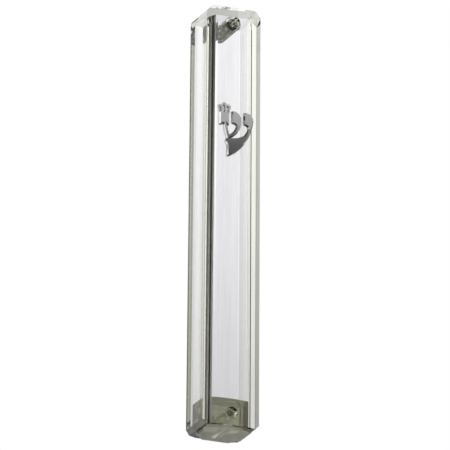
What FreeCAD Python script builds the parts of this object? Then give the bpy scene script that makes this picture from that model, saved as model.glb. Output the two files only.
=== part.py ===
import FreeCAD, Part
import os

# Mezuzah case: a clear moulded bar that hangs upright on a doorpost, closed at the top and plugged at the
# bottom. Millimetres. The origin is on the flat back face, halfway up and on the centre line: +X is to the
# right of a viewer facing the case, +Y runs into the doorpost and +Z is up.

# Outside of the case
CASE_HEIGHT = 120.0
CASE_DEPTH = 14.0
TOP_WIDTH = 15.9            # the sides lean out a little towards the open end, so the mould lets go
BOTTOM_WIDTH = 16.6
FRONT_BEVEL = (2.9, 1.0)    # on each upright edge: measured across the face, then back along the side
BACK_BEVEL = (3.4, 1.6)
TOP_CORNER_CUT = 1.5        # the slanted cut across each end corner, seen from the front
BOTTOM_CORNER_CUT = 1.2
TOP_Z = CASE_HEIGHT / 2
BOTTOM_Z = -CASE_HEIGHT / 2

# Scroll cavity, open at the bottom
FRONT_WALL = 1.85
BACK_WALL = 1.85
TOP_WALL = 2.2
CAVITY_TOP_WIDTH = 11.2     # leans out like the outside
CAVITY_FRONT_Y = -CASE_DEPTH + FRONT_WALL
CAVITY_BACK_Y = -BACK_WALL
CAVITY_FRONT_BEVEL = (0.65, 3.5)
CAVITY_BACK_BEVEL = (3.65, 1.2)
CEILING_Z = TOP_Z - TOP_WALL

# Screw holes, both from front to back on the centre line
SCREW_HOLE_RADIUS = 1.6
TUBE_RADIUS = 2.15
UPPER_SCREW_Z = TOP_Z - 4.2
LOWER_SCREW_Z = BOTTOM_Z + 3.7

# Stopper
PLUG_HEIGHT = 8.0
PLUG_CLEARANCE = 0.05       # gap between the plug and the cavity walls
PLUG_TOP_RISE = 0.25        # how far the plug's top bulges up in the middle
FLANGE_THICKNESS = 0.9
FLANGE_TOP_WIDTH = 11.9     # measured like the other widths, as it would be at the top of the case
FLANGE_FRONT_INSET = 0.5    # how far the flange stays inside the case's front face
FLANGE_BACK_INSET = 1.9
FLANGE_FRONT_BEVEL = (2.2, 1.0)
FLANGE_BACK_BEVEL = (2.5, 2.8)
PANEL_WIDTH = 6.0           # the recessed panel round the lower screw hole
PANEL_HEIGHT = 6.8
PANEL_DEPTH = 0.6
PANEL_CORNER = 1.2

# Letter on the front face
ADHESIVE_THICKNESS = 0.1
ADHESIVE_MARGIN = 0.45      # how far the film shows round the letter
LETTER_THICKNESS = 0.6
LETTER_SPREAD = 0.33        # the full outline lies this far outside the strokes' flat front faces
LETTER_FRONT_Y = -CASE_DEPTH - ADHESIVE_THICKNESS - LETTER_THICKNESS
CROWN_CENTRES = [(-4.15, 30.6), (-3.0, 31.3), (-1.9, 30.85)]
CROWN_RADIUS = 0.42
CROWN_STROKE_WIDTH = 0.34
CROWN_LOW_Z = 29.45


def vector(x, y, z):
    """A FreeCAD vector."""
    return FreeCAD.Vector(x, y, z)


def box(low, high):
    """A box between two corner points."""
    size = [b - a for a, b in zip(low, high)]
    return Part.makeBox(size[0], size[1], size[2], vector(*low))


def bevelled_corners(width, front_y, back_y, front_bevel, back_bevel, z):
    """The corners of a rectangle with four bevelled corners, at one height."""
    half = width / 2
    right_side = [
        (half - front_bevel[0], front_y),
        (half, front_y + front_bevel[1]),
        (half, back_y - back_bevel[1]),
        (half - back_bevel[0], back_y),
    ]
    left_side = [(-x, y) for x, y in reversed(right_side)]
    return [vector(x, y, z) for x, y in right_side + left_side]


def flat_face(corners):
    """The flat face inside a ring of corners."""
    return Part.Face(Part.makePolygon(corners + corners[:1]))


def leaning_width(top_width, z):
    """The width at one height of something that is top_width wide at the top and leans out like the sides."""
    return top_width + (BOTTOM_WIDTH - TOP_WIDTH) * (TOP_Z - z) / CASE_HEIGHT


def bevelled_bar(top_width, front_y, back_y, front_bevel, back_bevel, low_z, high_z):
    """An upright bar with the bevelled outline, its flat sides leaning out like those of the case."""
    low, high = [
        bevelled_corners(leaning_width(top_width, z), front_y, back_y, front_bevel, back_bevel, z)
        for z in (low_z, high_z)
    ]
    faces = [flat_face(low), flat_face(high)]
    for this in range(len(low)):
        following = (this + 1) % len(low)
        faces.append(flat_face([low[this], low[following], high[following], high[this]]))
    shell = Part.makeShell(faces)
    shell.sewShape()
    return Part.makeSolid(shell)


def corner_wedge(side, end, width, cut):
    """The prism that takes one slanted end corner off the case. end is 1 at the top and -1 at the bottom."""
    reach = 2.0
    end_z = end * CASE_HEIGHT / 2
    outer_x = side * (width / 2 + reach)
    inner_x = side * (width / 2 - cut - reach)
    behind_y = 1.0
    corners = [
        vector(outer_x, behind_y, end_z - end * (cut + reach)),
        vector(outer_x, behind_y, end_z + end * reach),
        vector(inner_x, behind_y, end_z + end * reach),
    ]
    return flat_face(corners).extrude(vector(0, -CASE_DEPTH - 2 * behind_y, 0))


def through_rod(radius, z, front_y, back_y):
    """A rod along Y on the centre line."""
    return Part.makeCylinder(radius, back_y - front_y, vector(0, front_y, z), vector(0, 1, 0))


def case_outside():
    """The solid bar with its leaning sides and cut corners."""
    bar = bevelled_bar(TOP_WIDTH, -CASE_DEPTH, 0.0, FRONT_BEVEL, BACK_BEVEL, BOTTOM_Z, TOP_Z)
    for side in (-1, 1):
        bar = bar.cut(corner_wedge(side, 1, TOP_WIDTH, TOP_CORNER_CUT))
        bar = bar.cut(corner_wedge(side, -1, BOTTOM_WIDTH, BOTTOM_CORNER_CUT))
    return bar


def scroll_cavity():
    """The space for the scroll, run out past the open bottom end."""
    return bevelled_bar(
        CAVITY_TOP_WIDTH, CAVITY_FRONT_Y, CAVITY_BACK_Y, CAVITY_FRONT_BEVEL, CAVITY_BACK_BEVEL,
        BOTTOM_Z - 1.0, CEILING_Z,
    )


def case_shell():
    """The clear shell: hollow bar, upper screw tube across the cavity, and both screw holes."""
    shell = case_outside().cut(scroll_cavity())
    tube = through_rod(TUBE_RADIUS, UPPER_SCREW_Z, CAVITY_FRONT_Y - 0.5, CAVITY_BACK_Y + 0.5)
    shell = shell.fuse(tube).removeSplitter()
    for z in (UPPER_SCREW_Z, LOWER_SCREW_Z):
        shell = shell.cut(through_rod(SCREW_HOLE_RADIUS, z, -CASE_DEPTH - 1.0, 1.0))
    return shell


def plug_top():
    """The shallow cylinder that rounds the plug's top, seen from the front."""
    half = CAVITY_TOP_WIDTH / 2
    radius = (half ** 2 + PLUG_TOP_RISE ** 2) / (2 * PLUG_TOP_RISE)
    crown_z = BOTTOM_Z + PLUG_HEIGHT
    start = vector(0, -CASE_DEPTH, crown_z - radius)
    return Part.makeCylinder(radius, CASE_DEPTH, start, vector(0, 1, 0))


def screw_panel():
    """The shallow rounded recess in the plug's front, round the lower screw hole."""
    front_y = CAVITY_FRONT_Y + PLUG_CLEARANCE
    low_z = LOWER_SCREW_Z - PANEL_HEIGHT / 2
    panel = box(
        (-PANEL_WIDTH / 2, front_y - 1.0, low_z),
        (PANEL_WIDTH / 2, front_y + PANEL_DEPTH, low_z + PANEL_HEIGHT),
    )
    across = [edge for edge in panel.Edges if abs(edge.tangentAt(edge.FirstParameter).y) > 0.9]
    return panel.makeFillet(PANEL_CORNER, across)


def flange_bar(low_z, high_z):
    """A bar with the flange's outline."""
    return bevelled_bar(
        FLANGE_TOP_WIDTH, -CASE_DEPTH + FLANGE_FRONT_INSET, -FLANGE_BACK_INSET,
        FLANGE_FRONT_BEVEL, FLANGE_BACK_BEVEL, low_z, high_z,
    )


def end_stopper():
    """The moulded plug, its flange and its screw hole, in one piece. The plug stays within the flange."""
    plug = bevelled_bar(
        CAVITY_TOP_WIDTH - 2 * PLUG_CLEARANCE, CAVITY_FRONT_Y + PLUG_CLEARANCE, CAVITY_BACK_Y - PLUG_CLEARANCE,
        CAVITY_FRONT_BEVEL, CAVITY_BACK_BEVEL, BOTTOM_Z, BOTTOM_Z + PLUG_HEIGHT,
    )
    plug = plug.common(flange_bar(BOTTOM_Z, BOTTOM_Z + PLUG_HEIGHT)).common(plug_top())
    flange = flange_bar(BOTTOM_Z - FLANGE_THICKNESS, BOTTOM_Z)
    stopper = plug.fuse(flange).removeSplitter()
    stopper = stopper.cut(screw_panel())
    return stopper.cut(through_rod(SCREW_HOLE_RADIUS, LOWER_SCREW_Z, -CASE_DEPTH, 0.0))


def flat_face_on_arcs(start, steps, y):
    """A flat face across Y. Each step runs to its last point, on an arc if it names a point on the way."""
    def point(pair):
        return vector(pair[0], y, pair[1])

    edges = []
    here = start
    for step in steps:
        if len(step) == 1:
            edges.append(Part.makeLine(point(here), point(step[0])))
        else:
            edges.append(Part.Arc(point(here), point(step[0]), point(step[1])).toShape())
        here = step[-1]
    return Part.Face(Part.Wire(edges))


def left_head(y):
    """The letter's left head, hollowed a little on each side of its stem."""
    start = (-4.23, 29.05)
    steps = [
        [(-1.98, 29.05)],
        [(-1.98, 25.85)],
        [(-2.33, 26.1), (-2.68, 26.2)],
        [(-3.38, 26.2)],
        [(-3.83, 26.1), (-4.23, 25.75)],
        [start],
    ]
    return flat_face_on_arcs(start, steps, y)


def left_stem(y):
    """The thin straight stroke from the left head down to the foot."""
    start = (-3.28, 26.35)
    steps = [[(-2.78, 26.35)], [(-1.73, 22.15)], [(-2.13, 21.75)], [start]]
    return flat_face_on_arcs(start, steps, y)


def middle_stroke(y):
    """The middle head and the arm that curves from it to the foot."""
    start = (-0.63, 29.45)
    steps = [
        [(1.12, 28.9), (1.72, 27.45)],
        [(1.12, 24.85), (-1.63, 22.15)],
        [(-1.93, 22.45)],
        [(0.17, 24.05), (0.77, 25.65)],
        [(0.17, 26.3), (-0.63, 26.5)],
        [start],
    ]
    return flat_face_on_arcs(start, steps, y)


def right_stroke_and_foot(y):
    """The right head, its arm and the pointed foot that they all end in."""
    start = (2.92, 29.4)
    steps = [
        [(4.52, 29.1), (5.12, 27.45)],
        [(4.37, 24.35), (2.67, 21.1)],
        [(0.67, 18.75), (-1.98, 16.95)],
        [(-1.88, 19.65)],
        [(-2.43, 20.75)],
        [(-2.08, 21.85)],
        [(0.57, 21.85), (3.07, 22.95)],
        [(3.77, 24.05), (4.22, 25.55)],
        [(3.57, 26.3), (2.92, 26.55)],
        [start],
    ]
    return flat_face_on_arcs(start, steps, y)


def letter_faces(y):
    """The flat front faces of the letter's strokes, which meet or overlap."""
    return [stroke(y) for stroke in (right_stroke_and_foot, left_head, left_stem, middle_stroke)]


def crown_faces(y):
    """Three round-topped marks over the left head, each a dot on a short stroke."""
    marks = []
    for x, top_z in CROWN_CENTRES:
        half = CROWN_STROKE_WIDTH / 2
        dot = Part.Face(Part.Wire(Part.makeCircle(CROWN_RADIUS, vector(x, y, top_z), vector(0, 1, 0))))
        stroke = flat_face([
            vector(x - half, y, CROWN_LOW_Z), vector(x + half, y, CROWN_LOW_Z),
            vector(x + half, y, top_z), vector(x - half, y, top_z),
        ])
        marks.append([dot, stroke])
    return marks


def plate(faces, thickness, margin=0.0):
    """Flat faces made into one plate that runs back along +Y, grown all round by a margin."""
    solids = []
    for face in faces:
        if margin:
            face = face.makeOffset2D(margin)
        if face.normalAt(0, 0).y < 0:
            face.reverse()
        solids.append(face.extrude(vector(0, thickness, 0)))
    return solids[0].fuse(solids[1:]).removeSplitter()


def crown_marks():
    """The three marks, as separate pieces."""
    return Part.makeCompound([plate(faces, LETTER_THICKNESS) for faces in crown_faces(LETTER_FRONT_Y)])


def adhesive_film():
    """The one film behind the letter and its marks."""
    y = -CASE_DEPTH - ADHESIVE_THICKNESS
    faces = letter_faces(y) + [face for mark in crown_faces(y) for face in mark]
    return plate(faces, ADHESIVE_THICKNESS, ADHESIVE_MARGIN)


def main():
    """Write one STEP file for each node."""
    nodes = {
        "case_shell": case_shell(),
        "end_stopper": end_stopper(),
        "shin_letter": plate(letter_faces(LETTER_FRONT_Y), LETTER_THICKNESS, LETTER_SPREAD),
        "crown_marks": crown_marks(),
        "letter_adhesive": adhesive_film(),
    }
    os.makedirs("parts", exist_ok=True)
    for name, shape in nodes.items():
        print(name, "solids", len(shape.Solids), "valid", shape.isValid(), "mm3", round(shape.Volume, 2))
        shape.exportStep("parts/" + name + ".step")


main()
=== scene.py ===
import math

import bmesh
import bpy
from mathutils import Matrix, Vector


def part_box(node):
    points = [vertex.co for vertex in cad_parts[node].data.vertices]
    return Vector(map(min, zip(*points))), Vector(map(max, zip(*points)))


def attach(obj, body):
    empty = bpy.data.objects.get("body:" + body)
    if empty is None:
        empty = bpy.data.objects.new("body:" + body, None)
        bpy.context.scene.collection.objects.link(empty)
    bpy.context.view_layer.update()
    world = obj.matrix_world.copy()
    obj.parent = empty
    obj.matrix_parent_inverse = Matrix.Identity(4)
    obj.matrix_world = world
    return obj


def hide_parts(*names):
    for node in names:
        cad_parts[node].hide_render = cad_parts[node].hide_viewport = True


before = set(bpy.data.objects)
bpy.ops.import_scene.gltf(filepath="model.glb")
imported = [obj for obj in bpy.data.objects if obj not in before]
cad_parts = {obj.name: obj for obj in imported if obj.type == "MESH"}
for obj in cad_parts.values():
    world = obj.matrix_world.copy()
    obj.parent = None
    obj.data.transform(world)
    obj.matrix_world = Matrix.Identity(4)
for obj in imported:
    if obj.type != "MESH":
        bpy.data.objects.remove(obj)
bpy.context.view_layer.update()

MM = 0.001

# The case as model.glb gives it
SHELL_LOW, SHELL_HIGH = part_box("case_shell")
CASE_CENTRE = (SHELL_LOW + SHELL_HIGH) / 2
LETTER_LOW, LETTER_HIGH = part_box("shin_letter")

# Where the camera stands, as seen from the case: to its left and below it
CAMERA_AZIMUTH = math.radians(-22.68)
CAMERA_ELEVATION = math.radians(-19.73)
CAMERA_ROLL = math.radians(0.45)
CAMERA_DISTANCE = 2.954
CAMERA_LENS = 871.4
CAMERA_SENSOR = 36.0
CAMERA_SHIFT = (0.0031, -0.0042)
CAMERA_REACH = 50.0

# A floor below the camera, lit from within so that the case looks clear from above
FLOOR_Z = -3.4
FLOOR_HALF_WIDTH = 6.0
FLOOR_GLOW = 0.25

# Edge work
SAME_PLACE = 0.0005 * MM
FLAT_ANGLE = math.radians(0.5)
ROUNDED_ANGLE = math.radians(10.3)      # more than the angle between a round hole's facets, which stay
ACRYLIC_ROUNDING = 0.14 * MM
STOPPER_ROUNDING = 0.18 * MM
LETTER_SPREAD = 0.31 * MM
CROWN_SPREAD = 0.14 * MM
METAL_LIP = 0.06 * MM
SEAT_GAP = 0.03 * MM                    # keeps touching faces from lying exactly on each other
MOULDED_SMOOTH_ANGLE = 50.0
METAL_SMOOTH_ANGLE = 20.0

# The narrow slanting walls beside the front of the scroll space
STRIP_X = SHELL_HIGH.x - 2.8 * MM
STRIP_REACH_X = 0.6 * MM
STRIP_Y = SHELL_LOW.y + 3.6 * MM
STRIP_REACH_Y = 1.8 * MM

# The case's slanted end corners lie outside this
END_CUT_X = SHELL_HIGH.x - 2.8 * MM

# The upper screw's tube
TUBE_Z = SHELL_HIGH.z - 4.2 * MM
TUBE_REACH = 2.3 * MM
FRONT_WALL_Y = SHELL_LOW.y + 1.8 * MM

# How much of a surface's direction must point a certain way, for it to be taken as facing or leaning that way
FACES_STRAIGHT = 0.9
FACES_SIDEWAYS = 0.7
LEANS = 0.5

# Bands of painted light and roughness across a strip, from its front edge (0) to its back edge (1)
LIGHT_AND_ROUGH_BANDS = [
    (0.00, 1.0), (0.24, 0.9), (0.32, 0.0), (0.48, 0.0), (0.54, 1.0), (0.70, 1.0), (0.76, 0.1), (0.90, 0.1),
    (1.00, 0.5),
]

# How strong a strip's painted light and roughness are, from the case's open end (0) to its closed end (1)
STRIP_BAND_STRENGTH = [(0.0, 1.0), (0.5, 0.9), (0.9, 0.5)]

# How far noise moves the bands, and what they add to the acrylic's painted light, to the opacity that lets it
# show, and to its roughness
STRIP_WANDER = 0.06
STRIP_PAINTED_LIGHT = 0.20
STRIP_PAINTED_OPACITY = 0.15
STRIP_ROUGHNESS = 0.45

# The acrylic's colour, from clear (0) through painted cream light to wholly painted shade (1)
ACRYLIC_PAINTED_LIGHT_AND_SHADE = [
    (0.00, 1.0), (0.20, (0.95, 0.93, 0.70)), (0.45, (0.30, 0.30, 0.22)), (0.75, (0.26, 0.26, 0.20)),
    (1.00, (0.10, 0.10, 0.07)),
]

# The letter's painted reflection: its brightness from its foot (0) to its top (1), where its sloping sides
# count as the top
LETTER_PAINTED_REFLECTION = [
    (0.05, 0.20), (0.30, 0.28), (0.45, 0.36), (0.60, 0.62), (0.74, 0.90), (1.00, (0.97, 0.97, 0.96)),
]

# What that brightness is multiplied by on the front and sides (0), the undersides (0.5), where it is painted
# shade, and the back (1)
LETTER_SHADE = [(0.0, 1.0), (0.5, 0.12), (1.0, 0.35)]
LETTER_WANDER = 0.16
SIDE_HIGHLIGHT = 2.0             # painted highlight: adds nothing on the front, and enough on the sloping sides to make them bright
BACK_ROUGHNESS = 0.3

# Brightness round the case: position 0.5 is straight behind it, 0.75 its right and 0.25 its left
LIGHT_RING = [
    (0.000, 0.30), (0.150, 0.42), (0.200, 0.42), (0.240, 0.90), (0.300, 0.90), (0.330, (0.11, 0.11, 0.09)),
    (0.375, (0.08, 0.08, 0.065)), (0.403, 0.47), (0.430, 0.55), (0.458, 0.47), (0.486, 0.96),
    (0.502, (1.02, 1.02, 1.12)), (0.514, 1.15), (0.550, (0.87, 0.87, 0.92)), (0.597, (0.85, 0.85, 0.90)),
    (0.625, 1.15), (0.700, 1.15), (0.736, (0.66, 0.66, 0.50)), (0.764, (0.36, 0.36, 0.27)), (0.800, 0.10),
    (0.850, 0.08), (0.900, 0.30), (0.935, 0.38), (1.000, 0.30),
]

# The same below the level of the case, where the room is pale all round
LOW_RING = [
    (0.000, 1.20), (0.330, 1.15), (0.360, 1.40), (0.450, 1.40), (0.480, 0.96), (0.514, 1.15),
    (0.550, (0.87, 0.87, 0.92)), (0.597, (0.85, 0.85, 0.90)), (0.625, 1.15), (1.000, 1.20),
]

# Both rings are multiplied by a brightness for height: 0 is straight down, 0.5 level and 1 straight up
LIGHT_HEIGHT = [
    (0.000, 0.80), (0.250, 0.75), (0.290, 0.66), (0.370, 0.66), (0.420, 0.60), (0.470, 0.66), (0.500, 0.75),
    (0.530, 0.50), (0.610, 0.40), (0.655, 0.68), (0.662, 0.83), (0.667, 1.00), (0.676, 1.16), (0.700, 1.16),
    (0.750, 0.90), (0.820, 0.25), (0.900, 0.08), (1.000, 0.08),
]

# How much of the low ring there is at each height
LOW_RING_SHARE = [(0.485, 1.0), (0.515, 0.0)]


# Node helpers

def new_material(name):
    """An empty node material with its output node."""
    material = bpy.data.materials.new(name)
    material.use_nodes = True
    material.node_tree.nodes.clear()
    output = material.node_tree.nodes.new("ShaderNodeOutputMaterial")
    return material, material.node_tree, output


def feed(tree, socket, value):
    """Joins another node's socket to a socket, or puts a plain value on it."""
    if isinstance(value, bpy.types.NodeSocket):
        tree.links.new(value, socket)
    else:
        socket.default_value = value


def object_position(tree):
    """Position in the object's own frame, in metres."""
    return tree.nodes.new("ShaderNodeTexCoord").outputs["Object"]


def object_normal(tree):
    """Which way the surface faces in the object's own frame."""
    return tree.nodes.new("ShaderNodeTexCoord").outputs["Normal"]


def noise(tree, place, scale, detail=3.0, stretch=(1.0, 1.0, 1.0)):
    """Noise over the object; stretch is a scale for each axis."""
    mapping = tree.nodes.new("ShaderNodeMapping")
    mapping.inputs["Scale"].default_value = stretch
    tree.links.new(place, mapping.inputs["Vector"])
    texture = tree.nodes.new("ShaderNodeTexNoise")
    texture.inputs["Scale"].default_value = scale
    texture.inputs["Detail"].default_value = detail
    tree.links.new(mapping.outputs["Vector"], texture.inputs["Vector"])
    return texture.outputs["Fac"]


def ramp(tree, value, stops):
    """A colour ramp. Each stop is (position, (red, green, blue)) or (position, grey)."""
    node = tree.nodes.new("ShaderNodeValToRGB")
    elements = node.color_ramp.elements
    while len(elements) > 1:
        elements.remove(elements[-1])
    for number, (position, colour) in enumerate(stops):
        if not isinstance(colour, tuple):
            colour = (colour, colour, colour)
        element = elements[0] if number == 0 else elements.new(position)
        element.position = position
        element.color = (*colour, 1.0)
    tree.links.new(value, node.inputs["Fac"])
    return node.outputs["Color"]


def bump(tree, height, strength, distance):
    """A bump from a height between 0 and 1."""
    node = tree.nodes.new("ShaderNodeBump")
    node.inputs["Strength"].default_value = strength
    node.inputs["Distance"].default_value = distance
    tree.links.new(height, node.inputs["Height"])
    return node.outputs["Normal"]


def math_node(tree, operation, *values):
    """One arithmetic node on sockets or numbers."""
    node = tree.nodes.new("ShaderNodeMath")
    node.operation = operation
    for socket, value in zip(node.inputs, values):
        feed(tree, socket, value)
    return node.outputs["Value"]


def separate(tree, vector):
    """The three parts of a vector socket."""
    node = tree.nodes.new("ShaderNodeSeparateXYZ")
    tree.links.new(vector, node.inputs["Vector"])
    return node.outputs["X"], node.outputs["Y"], node.outputs["Z"]


def size_of(tree, value):
    """A value without its sign."""
    return math_node(tree, "ABSOLUTE", value)


def over(tree, value, limit):
    """One where a value is over a limit, and zero elsewhere."""
    return math_node(tree, "GREATER_THAN", value, limit)


def under(tree, value, limit):
    """One where a value is under a limit, and zero elsewhere."""
    return math_node(tree, "LESS_THAN", value, limit)


def close_to(tree, value, middle, reach):
    """One within a reach of a middle value, and zero elsewhere."""
    away = math_node(tree, "SUBTRACT", value, middle)
    return under(tree, size_of(tree, away), reach)


def share_of(tree, value, low, high):
    """How far a value is along the way from low (0) to high (1)."""
    above_low = math_node(tree, "SUBTRACT", value, low)
    return math_node(tree, "DIVIDE", above_low, high - low)


def add_scaled(tree, value, scale, base):
    """A value times a scale, added to a base."""
    return math_node(tree, "MULTIPLY_ADD", value, scale, base)


def wander(tree, value, texture, amount):
    """A value that noise moves up and down by half an amount at most."""
    lowest = math_node(tree, "SUBTRACT", value, amount / 2)
    return add_scaled(tree, texture, amount, lowest)


def product(tree, *values):
    """All the values multiplied together."""
    total = values[0]
    for value in values[1:]:
        total = math_node(tree, "MULTIPLY", total, value)
    return total


def add_surface(tree, output, inputs):
    """The surface shader, with a plain value or a socket for each of its named inputs."""
    surface = tree.nodes.new("ShaderNodeBsdfPrincipled")
    for name, value in inputs.items():
        feed(tree, surface.inputs[name], value)
    tree.links.new(surface.outputs["BSDF"], output.inputs["Surface"])


def add_tint(tree, output, colour, density):
    """A tint that deepens with the thickness of the material."""
    tint = tree.nodes.new("ShaderNodeVolumeAbsorption")
    tint.inputs["Color"].default_value = (*colour, 1.0)
    tint.inputs["Density"].default_value = density
    tree.links.new(tint.outputs["Volume"], output.inputs["Volume"])


# Materials

def painted_light_strips(tree, place, facing):
    """Bands of painted light, with roughness, on the narrow slanting walls beside the front of the scroll
    space, strongest at the open end.
    """
    across, depth, height = separate(tree, place)
    to_side, _, _ = separate(tree, facing)
    beside = close_to(tree, size_of(tree, across), STRIP_X, STRIP_REACH_X)
    in_front = close_to(tree, depth, STRIP_Y, STRIP_REACH_Y)
    slanting = over(tree, size_of(tree, to_side), FACES_SIDEWAYS)
    backward = share_of(tree, depth, STRIP_Y - STRIP_REACH_Y, STRIP_Y + STRIP_REACH_Y)
    waves = noise(tree, place, scale=260.0, stretch=(1.0, 1.0, 0.35))
    marks = ramp(tree, wander(tree, backward, waves, STRIP_WANDER), LIGHT_AND_ROUGH_BANDS)
    band_strength = ramp(tree, share_of(tree, height, SHELL_LOW.z, SHELL_HIGH.z), STRIP_BAND_STRENGTH)
    return product(tree, beside, in_front, slanting, marks, band_strength)


def shaded_end_cuts(tree, place, facing):
    """Painted shade in a grainy pattern on the slanted end corners of the case's left side."""
    across, _, _ = separate(tree, place)
    to_side, _, up = separate(tree, facing)
    slanted = product(tree, over(tree, size_of(tree, to_side), LEANS), over(tree, size_of(tree, up), LEANS))
    on_left = under(tree, across, -END_CUT_X)
    grain = noise(tree, place, scale=1100.0, stretch=(1.0, 0.1, 1.0))
    marks = ramp(tree, grain, [(0.40, 0.45), (0.60, 0.95)])
    return product(tree, slanted, on_left, marks)


def shaded_tube(tree, place, facing):
    """Painted shade in a grainy pattern on the upper screw's tube, inside and out, behind the front wall."""
    across, depth, height = separate(tree, place)
    _, along, _ = separate(tree, facing)
    rise = math_node(tree, "SUBTRACT", height, TUBE_Z)
    squared_radius = math_node(tree, "ADD", product(tree, across, across), product(tree, rise, rise))
    near = under(tree, squared_radius, TUBE_REACH ** 2)
    round_sides = under(tree, size_of(tree, along), LEANS)
    behind_wall = over(tree, depth, FRONT_WALL_Y)
    grain = noise(tree, place, scale=1300.0, stretch=(1.0, 0.4, 1.0))
    marks = ramp(tree, grain, [(0.40, 0.10), (0.60, 0.80)])
    return product(tree, near, round_sides, behind_wall, marks)


def acrylic_material():
    """Clear acrylic with moulding ripple, hairline scratches, a slight warm tint, and painted light and shade
    on some of its surfaces.
    """
    material, tree, output = new_material("clear acrylic")
    place = object_position(tree)
    facing = object_normal(tree)
    # Painted light on the strips and painted shade on the left end cuts and the tube, each making the acrylic
    # less clear there
    strips = painted_light_strips(tree, place, facing)
    cuts = math_node(tree, "ADD", shaded_end_cuts(tree, place, facing), shaded_tube(tree, place, facing))
    painted_opacity = add_scaled(tree, strips, STRIP_PAINTED_OPACITY, cuts)
    ripple = noise(tree, place, scale=90.0, detail=2.0, stretch=(1.0, 1.0, 0.25))
    scratches = noise(tree, place, scale=900.0, detail=4.0, stretch=(1.0, 1.0, 0.06))
    clear = ramp(tree, scratches, [(0.50, 1.00), (0.75, 0.95)])
    hazy = ramp(tree, scratches, [(0.55, 0.00), (0.75, 0.03)])
    add_surface(tree, output, {
        "Base Color": ramp(tree, add_scaled(tree, strips, STRIP_PAINTED_LIGHT, cuts), ACRYLIC_PAINTED_LIGHT_AND_SHADE),
        "IOR": 1.49,
        "Transmission Weight": math_node(tree, "SUBTRACT", clear, painted_opacity),
        "Roughness": add_scaled(tree, strips, STRIP_ROUGHNESS, hazy),
        "Normal": bump(tree, ripple, 0.10, 0.04 * MM),
    })
    add_tint(tree, output, (0.80, 0.80, 0.45), 17.0)
    return material


def stopper_material():
    """Olive-grey translucent rubber: light sinks into it, with flow marks from the mould and a fine grain."""
    material, tree, output = new_material("olive rubber")
    place = object_position(tree)
    flow = noise(tree, place, scale=240.0, stretch=(1.0, 1.0, 2.2))
    grain = noise(tree, place, scale=2200.0)
    add_surface(tree, output, {
        "Base Color": ramp(tree, flow, [(0.3, (0.74, 0.74, 0.54)), (0.7, (0.88, 0.88, 0.68))]),
        "IOR": 1.46,
        "Transmission Weight": 0.80,
        "Roughness": ramp(tree, grain, [(0.3, 0.12), (0.7, 0.26)]),
        "Normal": bump(tree, flow, 0.25, 0.1 * MM),
    })
    add_tint(tree, output, (0.27, 0.26, 0.13), 75.0)
    return material


def metal_material(name):
    """Polished silver plate with a painted reflection that darkens down its front, a painted highlight on its
    sloping sides, painted shade on its undersides, and a darker, rougher back.
    """
    material, tree, output = new_material(name)
    place = object_position(tree)
    hairlines = noise(tree, place, scale=1500.0, detail=4.0, stretch=(0.08, 1.0, 1.0))
    patches = noise(tree, place, scale=320.0)
    _, _, height = separate(tree, place)
    _, backward, upward = separate(tree, object_normal(tree))
    up_letter = wander(tree, share_of(tree, height, LETTER_LOW.z, LETTER_HIGH.z), patches, LETTER_WANDER)
    # Painted highlight on the sloping sides
    off_the_front = add_scaled(tree, backward, SIDE_HIGHLIGHT, SIDE_HIGHLIGHT)
    # Painted reflection: the plate darker towards its foot and brighter towards its top
    painted_reflection = ramp(tree, math_node(tree, "ADD", up_letter, off_the_front), LETTER_PAINTED_REFLECTION)
    # Painted shade on the undersides; the back is darker and rougher
    back = over(tree, backward, FACES_STRAIGHT)
    underside = under(tree, upward, -LEANS)
    shade = ramp(tree, add_scaled(tree, underside, 0.5, back), LETTER_SHADE)
    shine = ramp(tree, hairlines, [(0.3, 0.04), (0.7, 0.12)])
    add_surface(tree, output, {
        "Base Color": product(tree, painted_reflection, shade),
        "Metallic": 1.0,
        "Roughness": add_scaled(tree, back, BACK_ROUGHNESS, shine),
        "Normal": bump(tree, hairlines, 0.15, 0.01 * MM),
    })
    return material


def film_material():
    """Clear adhesive film, a little cloudy, with tiny trapped bubbles."""
    material, tree, output = new_material("adhesive film")
    bubbles = noise(tree, object_position(tree), scale=1800.0, detail=2.0)
    add_surface(tree, output, {
        "Base Color": (0.93, 0.93, 0.91, 1.0),
        "IOR": 1.47,
        "Transmission Weight": 0.75,
        "Roughness": ramp(tree, bubbles, [(0.4, 0.15), (0.7, 0.45)]),
    })
    return material


def floor_material():
    """Plain pale studio floor with a barely visible mottle and a soft glow."""
    material, tree, output = new_material("pale floor")
    mottle = noise(tree, object_position(tree), scale=3.0)
    add_surface(tree, output, {
        "Base Color": ramp(tree, mottle, [(0.3, 0.80), (0.7, 0.84)]),
        "Roughness": 0.8,
        "Emission Color": (1.0, 1.0, 1.0, 1.0),
        "Emission Strength": FLOOR_GLOW,
    })
    return material


# Pieces

def clean_copy(node):
    """The CAD node's mesh with its flat faces made whole again, ready for edge work."""
    mesh = bmesh.new()
    mesh.from_mesh(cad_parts[node].data)
    bmesh.ops.remove_doubles(mesh, verts=mesh.verts, dist=SAME_PLACE)
    bmesh.ops.dissolve_limit(mesh, angle_limit=FLAT_ANGLE, verts=mesh.verts, edges=mesh.edges)
    return mesh


def round_edges(mesh, width, segments):
    """Rounds the edges where two faces meet at more than the rounded angle."""
    joined = [edge for edge in mesh.edges if len(edge.link_faces) == 2]
    sharp = [edge for edge in joined if edge.calc_face_angle() > ROUNDED_ANGLE]
    bmesh.ops.bevel(
        mesh, geom=sharp, offset=width, segments=segments, profile=0.5, affect="EDGES", clamp_overlap=True,
    )


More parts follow.
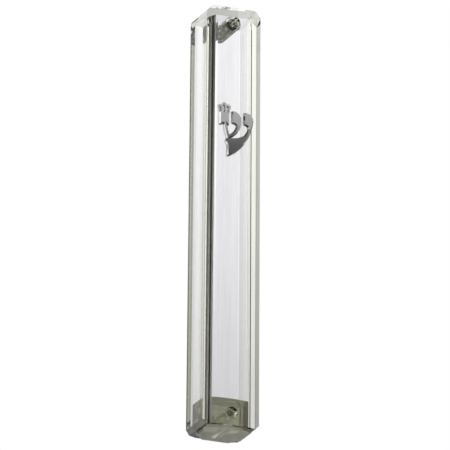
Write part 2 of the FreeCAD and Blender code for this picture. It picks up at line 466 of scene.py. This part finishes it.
def add_piece(name, mesh, node, body, material, smooth_angle=MOULDED_SMOOTH_ANGLE):
    """Turns the mesh into a piece that stands for a CAD node."""
    data = bpy.data.meshes.new(name)
    mesh.to_mesh(data)
    mesh.free()
    data.materials.append(material)
    piece = bpy.data.objects.new(name, data)
    bpy.context.scene.collection.objects.link(piece)
    data.polygons.foreach_set("use_smooth", [True] * len(data.polygons))
    data.set_sharp_from_angle(angle=math.radians(smooth_angle))
    flat_sides = piece.modifiers.new("flat_sides", "WEIGHTED_NORMAL")
    flat_sides.mode = "FACE_AREA"
    flat_sides.weight = 100
    flat_sides.keep_sharp = True
    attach(piece, body)
    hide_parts(node)


def build_case():
    """The clear shell with its moulded edges just rounded."""
    mesh = clean_copy("case_shell")
    round_edges(mesh, ACRYLIC_ROUNDING, segments=2)
    add_piece("clear_case", mesh, "case_shell", "case", acrylic_material())


def build_stopper():
    """The rubber stopper, its flange seated a hair below the case's end."""
    mesh = clean_copy("end_stopper")
    for vertex in mesh.verts:
        if abs(vertex.co.z - SHELL_LOW.z) < SEAT_GAP:
            vertex.co.z -= SEAT_GAP
    round_edges(mesh, STOPPER_ROUNDING, segments=3)
    add_piece("rubber_stopper", mesh, "end_stopper", "stopper", stopper_material())


def build_metal(name, node, spread):
    """A polished plate whose sides slope out from a smaller flat front, down to a thin straight lip."""
    mesh = clean_copy(node)
    low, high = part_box(node)
    front = [face for face in mesh.faces if face.normal.y < -FACES_STRAIGHT]
    bmesh.ops.inset_region(mesh, faces=front, thickness=spread, use_even_offset=True, use_boundary=True)
    flat_front = {vertex for face in front for vertex in face.verts}
    for vertex in mesh.verts:
        if vertex.co.y < low.y + SEAT_GAP and vertex not in flat_front:
            vertex.co.y = high.y - METAL_LIP
    material = metal_material(name.replace("_", " "))
    add_piece(name, mesh, node, "case", material, smooth_angle=METAL_SMOOTH_ANGLE)


def build_film():
    """The adhesive film, kept a hair clear of the case and of the metal."""
    mesh = clean_copy("letter_adhesive")
    low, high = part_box("letter_adhesive")
    middle_y = (low.y + high.y) / 2
    for vertex in mesh.verts:
        vertex.co.y += math.copysign(SEAT_GAP, middle_y - vertex.co.y)
    add_piece("letter_film", mesh, "letter_adhesive", "case", film_material())


# Studio

def build_floor():
    """A wide pale floor below the camera, which looks up at the case."""
    half = FLOOR_HALF_WIDTH
    mesh = bpy.data.meshes.new("studio_floor")
    corners = [(-half, -half, FLOOR_Z), (half, -half, FLOOR_Z), (half, half, FLOOR_Z), (-half, half, FLOOR_Z)]
    mesh.from_pydata(corners, [], [(0, 1, 2, 3)])
    mesh.materials.append(floor_material())
    floor = bpy.data.objects.new("studio_floor", mesh)
    bpy.context.scene.collection.objects.link(floor)


def build_camera():
    """The camera, on a long lens."""
    toward_camera = Vector((
        math.sin(CAMERA_AZIMUTH) * math.cos(CAMERA_ELEVATION),
        -math.cos(CAMERA_AZIMUTH) * math.cos(CAMERA_ELEVATION),
        math.sin(CAMERA_ELEVATION),
    ))
    level_right = (-toward_camera).cross(Vector((0.0, 0.0, 1.0))).normalized()
    level_up = level_right.cross(-toward_camera)
    right = math.cos(CAMERA_ROLL) * level_right + math.sin(CAMERA_ROLL) * level_up
    up = math.cos(CAMERA_ROLL) * level_up - math.sin(CAMERA_ROLL) * level_right
    turn = Matrix((right, up, toward_camera)).transposed().to_4x4()
    data = bpy.data.cameras.new("camera")
    data.lens = CAMERA_LENS
    data.sensor_width = CAMERA_SENSOR
    data.shift_x, data.shift_y = CAMERA_SHIFT
    data.clip_end = CAMERA_REACH
    camera = bpy.data.objects.new("camera", data)
    camera.matrix_world = Matrix.Translation(CASE_CENTRE + toward_camera * CAMERA_DISTANCE) @ turn
    bpy.context.scene.collection.objects.link(camera)
    bpy.context.scene.camera = camera


def wall_colour(tree, turn, up):
    """The colour of the walls by direction, passing from the low ring to the ring above it."""
    mix = tree.nodes.new("ShaderNodeMix")
    mix.data_type = "RGBA"
    tree.links.new(ramp(tree, up, LOW_RING_SHARE), mix.inputs["Factor"])
    tree.links.new(ramp(tree, turn, LIGHT_RING), mix.inputs["A"])
    tree.links.new(ramp(tree, turn, LOW_RING), mix.inputs["B"])
    return mix.outputs["Result"]


def build_light():
    """Plain white to the camera. The case and the metal see walls whose brightness changes with direction."""
    world = bpy.data.worlds.new("studio")
    bpy.context.scene.world = world
    world.use_nodes = True
    tree = world.node_tree
    tree.nodes.clear()
    output = tree.nodes.new("ShaderNodeOutputWorld")
    direction = tree.nodes.new("ShaderNodeTexCoord").outputs["Generated"]
    right, back, rise = separate(tree, direction)
    turn = add_scaled(tree, math_node(tree, "ARCTAN2", right, back), 1 / math.tau, 0.5)
    up = add_scaled(tree, rise, 0.5, 0.5)
    walls = tree.nodes.new("ShaderNodeBackground")
    tree.links.new(wall_colour(tree, turn, up), walls.inputs["Color"])
    tree.links.new(ramp(tree, up, LIGHT_HEIGHT), walls.inputs["Strength"])
    sweep = tree.nodes.new("ShaderNodeBackground")
    sweep.inputs["Color"].default_value = (1.0, 1.0, 1.0, 1.0)
    seen = tree.nodes.new("ShaderNodeLightPath").outputs["Is Camera Ray"]
    mix = tree.nodes.new("ShaderNodeMixShader")
    tree.links.new(seen, mix.inputs["Fac"])
    tree.links.new(walls.outputs["Background"], mix.inputs[1])
    tree.links.new(sweep.outputs["Background"], mix.inputs[2])
    tree.links.new(mix.outputs["Shader"], output.inputs["Surface"])


def main():
    """Build everything."""
    bpy.context.scene.view_settings.view_transform = "Standard"
    build_case()
    build_stopper()
    build_metal("metal_letter", "shin_letter", LETTER_SPREAD)
    build_metal("metal_crown_marks", "crown_marks", CROWN_SPREAD)
    build_film()
    build_floor()
    build_light()
    build_camera()


main()
